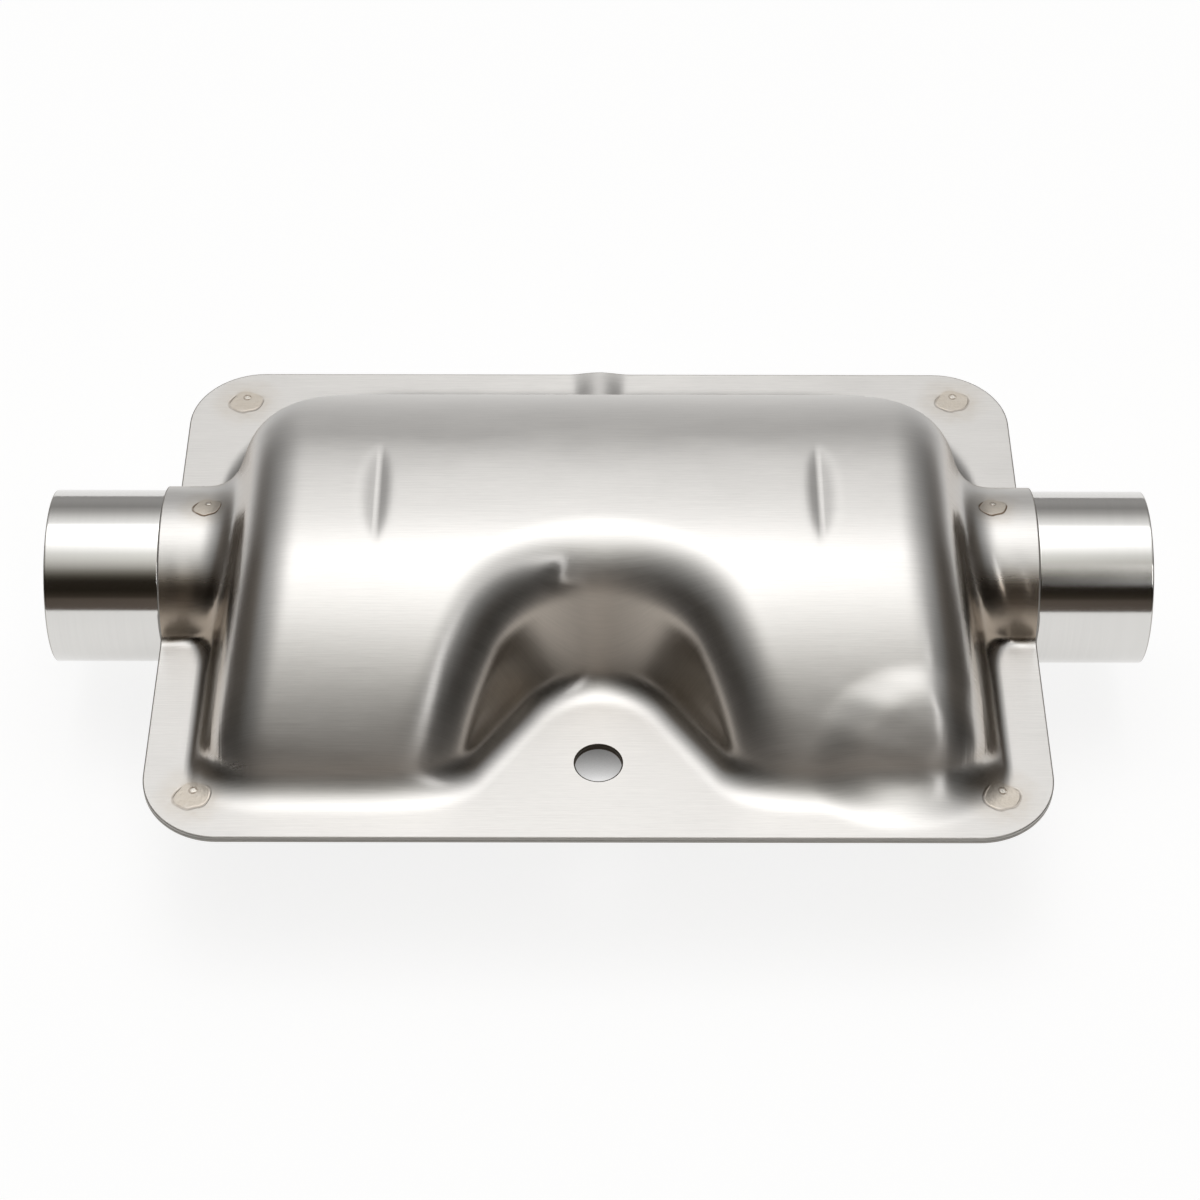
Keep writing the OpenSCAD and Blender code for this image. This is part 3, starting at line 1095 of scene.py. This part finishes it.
def steel(
    finish: SteelFinish,
    marks: Tree,
    weld: Optional[Tree] = None,
    draw: Optional[Tree] = None,
) -> bpy.types.Material:
    """Builds a steel whose marks come from the flat map, with weld marks where it has them.

    Its drawn walls are smoother than its level stretches and get painted shade: darker, browner.
    The welds' rims are stronger, and their nuggets stand up, on the necks alone.

    Args:
        finish: the steel's colour, gloss and direction of grain.
        marks: the group of its grain or turned marks.
        weld: the group of its weld marks.
        draw: the group of its draw lines.

    Returns:
        The material.
    """
    material, graph, shader = new_material(finish.name)
    place = graph.add("ShaderNodeUVMap", uv_map=FLAT_MAP).outputs[0]
    fine = graph.use(marks, place)
    colour = graph.blend(1.0, finish.colour, fine["Shade"], "MULTIPLY")
    rough = graph.math("ADD", fine["Matt"], finish.roughness)
    height = fine["Height"]
    if weld is not None:
        spot = graph.use(weld, graph.add("ShaderNodeUVMap", uv_map=WELD_MAP).outputs[0])
        core = spot["Core"]
        colour = graph.blend(spot["Film"], colour, FILM, "MULTIPLY")
        upward = graph.axes(graph.add("ShaderNodeTexCoord").outputs["Object"])[2]
        rise = graph.math("ABSOLUTE", graph.math("SUBTRACT", upward, JOINT_HEIGHT))
        rim = graph.times(spot["Rim"], graph.span(rise, *NECK_RISE, FLANGE_RIM, 1.0))
        colour = graph.blend(rim, colour, RIM)
        colour = graph.blend(graph.times(spot["Ring"], RING_SHARE), colour, RIM)
        colour = graph.blend(core, colour, NUGGET)
        rough = graph.math("MULTIPLY_ADD", core, NUGGET_GLOSS, rough)
        height = graph.math("ADD", height, spot["Height"])
        bead = graph.span(rise, *NECK_RISE, 0.0, NUGGET_HEIGHT)
        height = graph.math("MULTIPLY_ADD", core, bead, height)
    if draw is not None:
        drawn = graph.add("ShaderNodeAttribute", attribute_name=STEEP_SHADE_GLOSS_MASK).outputs["Fac"]
        lines = graph.use(draw, place)
        # Painted shade: steep walls darker and browner, the necks darker still.
        colour = graph.blend(drawn, colour, STEEP_WALL_SHADE, "MULTIPLY")
        colour = graph.blend(graph.times(drawn, lines["Necks"]), colour, NECK_SHADE, "MULTIPLY")
        gloss = graph.span(lines["Ends"], 0.0, 1.0, *DRAWN_GLOSS)
        rough = graph.math("SUBTRACT", rough, graph.times(drawn, gloss))
        height = graph.math("MULTIPLY_ADD", drawn, lines["Height"], height)
    cut = graph.add("ShaderNodeAttribute", attribute_name=CUT_MASK).outputs["Fac"]
    # Cut faces darkened: partly rough cut steel, partly painted shade.
    colour = graph.blend(graph.span(cut, 0.0, EDGE_CUT, 0.0, CUT_SHARE), colour, CUT_STEEL_AND_SHADE)
    # Painted shade: the hole's cut faces take the near-black colour.
    colour = graph.blend(graph.span(cut, EDGE_CUT, HOLE_CUT), colour, HOLE_PAINTED_SHADE)
    bump = graph.add("ShaderNodeBump")
    graph.fill(bump, {"Strength": 1.0, "Distance": 1.0, "Height": height})
    along = graph.add("ShaderNodeTangent", direction_type="UV_MAP", uv_map=FLAT_MAP)
    graph.fill(shader, {
        "Metallic": 1.0,
        "Anisotropic": finish.anisotropy,
        "Anisotropic Rotation": finish.blur_turn,
        "Base Color": colour,
        "Roughness": graph.math("MULTIPLY_ADD", cut, CUT_MATT, rough),
        "Normal": bump.outputs[0],
        "Tangent": along.outputs[0],
    })
    return material


def plain_steel(finish: SteelFinish) -> bpy.types.Material:
    """Builds the mill finish of the inner plates from noise over object places."""
    material, graph, shader = new_material(finish.name)
    cloud = graph.noise(graph.add("ShaderNodeTexCoord").outputs["Object"], MILL)
    shade = graph.span(cloud, *MILL_SPREAD, *MILL_SHADE)
    graph.fill(shader, {
        "Metallic": 1.0,
        "Base Color": graph.blend(1.0, finish.colour, shade, "MULTIPLY"),
        "Roughness": graph.sway(finish.roughness, cloud, MILL_MATT),
    })
    return material


STUDIO_BANDS: Tuple[Tuple[float, Colour], ...] = (
    (0.0, (0.17, 0.14, 0.12)),
    (15.5, (0.14, 0.115, 0.095)),
    (18.0, (0.06, 0.048, 0.036)),
    (27.0, (0.025, 0.020, 0.014)),
    (40.0, (0.030, 0.024, 0.017)),
    (46.0, (0.10, 0.09, 0.07)),
    (52.0, (0.30, 0.285, 0.25)),
    (60.0, (0.74, 0.725, 0.68)),
    (68.0, (1.10, 1.09, 1.04)),
    (76.0, (1.35, 1.35, 1.31)),
    (84.0, (1.90, 1.90, 1.88)),
    (94.0, (2.70, 2.70, 2.70)),
    (106.0, (3.20, 3.20, 3.20)),
    (114.0, (3.00, 3.00, 3.00)),
    (118.0, (2.20, 2.20, 2.20)),
    (121.0, (1.35, 1.35, 1.35)),
    (130.0, (0.98, 0.975, 0.965)),
    (142.0, (0.52, 0.515, 0.505)),
    (152.0, (0.31, 0.305, 0.30)),
    (168.0, (0.38, 0.375, 0.37)),
    (180.0, (0.34, 0.335, 0.33)),
)


@dataclass
class Studio:
    """The floor, the light and the camera."""

    camera_place: Tuple[float, float, float] = (0.18, -283.41, 328.31)
    elevation: float = math.radians(47.5)
    roll: float = math.radians(0.1)
    focal_px: float = 3002.4
    image_px: float = 1200.0
    sensor: float = 36.0
    clip: Pair = (0.01, 50.0)
    floor_half: float = 3.0
    paper: Colour = (0.30, 0.30, 0.30)
    paper_glow: float = 0.81
    contact: float = 0.007
    contact_power: float = 2.0
    contact_samples: int = 8
    side_fade: Tuple[float, float, float] = (0.28, 0.44, 1.4)
    fade_angles: Tuple[float, float, float] = (98.0, 138.0, 172.0)
    right_fade: float = 1.12
    wing: Tuple[float, float] = (0.58, 0.80)
    wing_colour: Colour = (0.52, 0.46, 0.40)
    strip_x: float = 0.29
    strip_half: float = 0.05
    strip_core: float = 0.6
    strip_soft: float = math.radians(4.0)
    strip_angles: Tuple[float, float] = (38.0, 62.0)
    strip_strength: float = 3.2

    def camera(self) -> None:
        """Sets the camera where the photograph was taken from."""
        data = bpy.data.cameras.new("camera")
        data.sensor_width = self.sensor
        data.lens = self.focal_px / self.image_px * self.sensor
        data.clip_start, data.clip_end = self.clip
        camera = new_object("camera", data)
        place = Matrix.Translation(Vector(self.camera_place) * MM)
        turn = Matrix.Rotation(math.pi / 2.0 - self.elevation, 4, "X")
        camera.matrix_world = place @ turn @ Matrix.Rotation(self.roll, 4, "Z")
        bpy.context.scene.camera = camera

    def floor(self) -> None:
        """Lays the pale floor that the muffler rests on."""
        h = self.floor_half
        mesh = bpy.data.meshes.new("floor")
        mesh.from_pydata([(-h, -h, 0), (h, -h, 0), (h, h, 0), (-h, h, 0)], [], [(0, 1, 2, 3)])
        floor = new_object("floor", mesh)
        floor.data.materials.append(self.floor_material())

    def floor_material(self) -> bpy.types.Material:
        """Builds the floor's paper: near white to camera and steel, with a painted contact shadow.
        """
        material, graph, shader = new_material("paper")
        path = graph.add("ShaderNodeLightPath").outputs
        seen = graph.math("ADD", path["Is Camera Ray"], path["Is Glossy Ray"])
        glow = graph.add("ShaderNodeEmission")
        # Painted contact shadow: the glow is dimmed by ambient occlusion close to the muffler.
        near = graph.add("ShaderNodeAmbientOcclusion", samples=self.contact_samples)
        near.inputs["Distance"].default_value = self.contact
        share = graph.math("POWER", near.outputs["AO"], self.contact_power)
        graph.put(glow.inputs["Strength"], graph.times(seen, graph.times(share, self.paper_glow)))
        graph.fill(shader, {
            "Base Color": (*self.paper, 1.0), "Roughness": 1.0, "Specular IOR Level": 0.0,
        })
        both = graph.add("ShaderNodeAddShader")
        graph.put(both.inputs[0], shader.outputs[0])
        graph.put(both.inputs[1], glow.outputs[0])
        graph.put(graph.nodes["Material Output"].inputs["Surface"], both.outputs[0])
        return material

    def light(self) -> None:
        """Surrounds the scene with the studio: a soft panel overhead and a dark front.

        Brightness follows the elevation, measured about the tube's axis from the front
        floor line over the top to the back one. It falls off towards both sides as one
        over one plus the square of the sideways share over side_fade, which is less in
        front than behind. The right side falls off sooner, and beyond the wing's limits
        both sides turn dark brown. The camera itself sees plain white.
        """
        world = bpy.data.worlds.new("studio")
        bpy.context.scene.world = world
        world.use_nodes = True
        graph = Graph(world.node_tree)
        x, y, z = graph.axes(graph.add("ShaderNodeTexCoord").outputs["Generated"])
        angle = graph.math("ARCTAN2", z, graph.times(y, -1.0))
        ramp = graph.add("ShaderNodeValToRGB")
        graph.put(ramp.inputs[0], graph.math("DIVIDE", angle, math.pi))
        elements = ramp.color_ramp.elements
        elements.remove(elements[-1])
        elements[0].position = 0.0
        elements[0].color = (*STUDIO_BANDS[0][1], 1.0)
        for degrees, colour in STUDIO_BANDS[1:]:
            elements.new(degrees / 180.0).color = (*colour, 1.0)
        front, middle, back = self.side_fade
        low, high, last = (math.radians(v) for v in self.fade_angles)
        reach = graph.math("ADD", graph.span(angle, low, high, front, middle),
                           graph.span(angle, high, last, 0.0, back - middle))
        sideways = graph.math("MAXIMUM", graph.times(x, self.right_fade), graph.times(x, -1.0))
        across = graph.math("DIVIDE", sideways, reach)
        side = graph.math("DIVIDE", 1.0, graph.math("MULTIPLY_ADD", across, across, 1.0))
        wing = graph.span(graph.math("ABSOLUTE", x), *self.wing)
        lit = graph.add("ShaderNodeVectorMath", operation="SCALE")
        sides = graph.blend(1.0, ramp.outputs["Color"], self.wing_colour, "MULTIPLY")
        graph.put(lit.inputs[0], graph.blend(wing, ramp.outputs["Color"], sides))
        graph.put(lit.inputs["Scale"], side)
        total = graph.blend(1.0, lit.outputs[0], self.strip_light(graph, x, angle), "ADD")
        seen = graph.add("ShaderNodeLightPath").outputs["Is Camera Ray"]
        graph.put(graph.nodes["Background"].inputs["Color"],
                  graph.blend(seen, total, (1.0, 1.0, 1.0)))

    def strip_light(self, graph: Graph, across: Value, angle: Value) -> Socket:
        """Adds the narrow lamp at the front right, as a soft-edged box of directions.

        Args:
            graph: the world's helpers.
            across: the direction's share along X.
            angle: the direction's elevation in radians.

        Returns:
            The lamp's brightness.
        """
        gap = graph.math("ABSOLUTE", graph.math("SUBTRACT", across, self.strip_x))
        wide = graph.fade(gap, self.strip_core * self.strip_half, self.strip_half)
        low, high = (math.radians(v) for v in self.strip_angles)
        tall = graph.times(graph.span(angle, low - self.strip_soft, low),
                           graph.fade(angle, high, high + self.strip_soft))
        return graph.times(graph.times(wide, tall), self.strip_strength)


CORNER_WELD_R = 2.4
NECK_WELD_R = 1.85
DIMPLES: Dict[float, float] = {CORNER_WELD_R: 0.02, NECK_WELD_R: 0.05}
DIMPLE_EDGE = 0.6
WELDS: Tuple[Tuple[float, float, float], ...] = (
    (-52.15, 34.6, CORNER_WELD_R),
    (52.15, 35.0, CORNER_WELD_R),
    (-53.3, -39.9, CORNER_WELD_R),
    (52.9, -39.8, CORNER_WELD_R),
    (-53.8, 1.3, NECK_WELD_R),
    (54.1, 1.6, NECK_WELD_R),
)
WELD_DIMPLES: Tuple[Mark, ...] = tuple(
    Mark(x, y, r, r, DIMPLES[r], profile=Profile.DISC, sharp=DIMPLE_EDGE) for x, y, r in WELDS
)
HANDLING_MARKS: Tuple[Mark, ...] = (
    Mark(41.0, -36.6, 9.5, 6.2, -1.25, turn=0.1, profile=Profile.DISC, sharp=0.9),
    Mark(39.0, -35.6, 5.0, 7.5, 0.05, turn=1.25, profile=Profile.WAVE, sharp=0.8),
    Mark(-5.2, -15.2, 1.9, 0.9, 0.24, turn=0.5),
    Mark(-55.6, -10.4, 4.0, 3.0, 0.06, profile=Profile.WAVE, sharp=0.9),
    Mark(55.9, -10.4, 4.0, 3.0, 0.06, turn=0.4, profile=Profile.WAVE, sharp=0.9),
)


def main() -> None:
    """Builds every piece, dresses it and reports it."""
    logging.basicConfig(level=logging.INFO, format="%(name)s: %(message)s")
    bpy.context.scene.view_settings.view_transform = "Standard"
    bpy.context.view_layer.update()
    form = Pressing()
    shell_steel = steel(PRESSED, ROLLED_GRAIN.group(), WeldMark().group(), DrawLines().group())
    tube_steel = steel(POLISHED, TURNED_MARKS.group())
    inner_steel = plain_steel(INNER)
    for node, half in (("upper_shell", Half.UPPER), ("lower_shell", Half.LOWER)):
        marks = WELD_DIMPLES + (HANDLING_MARKS if half is Half.UPPER else ())
        shell = HalfShell(form, marks=marks, welds=WELDS).build(node + "_pressing", half)
        shell.data.materials.append(shell_steel)
        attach(shell, "root")
        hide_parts(node)
        LOG.info("%s has %d faces", shell.name, len(shell.data.polygons))
    tube = ThroughTube(form.tube_setback, form.chamber_height).build("through_tube")
    tube.data.materials.append(tube_steel)
    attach(tube, "root")
    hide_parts("perforated_tube")
    LOG.info("%s has %d faces", tube.name, len(tube.data.polygons))
    for node in ("baffle_left", "baffle_right"):
        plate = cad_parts[node]
        plate.data.materials.clear()
        plate.data.materials.append(inner_steel)
    studio = Studio()
    studio.camera()
    studio.floor()
    studio.light()


if __name__ == "__main__":
    main()
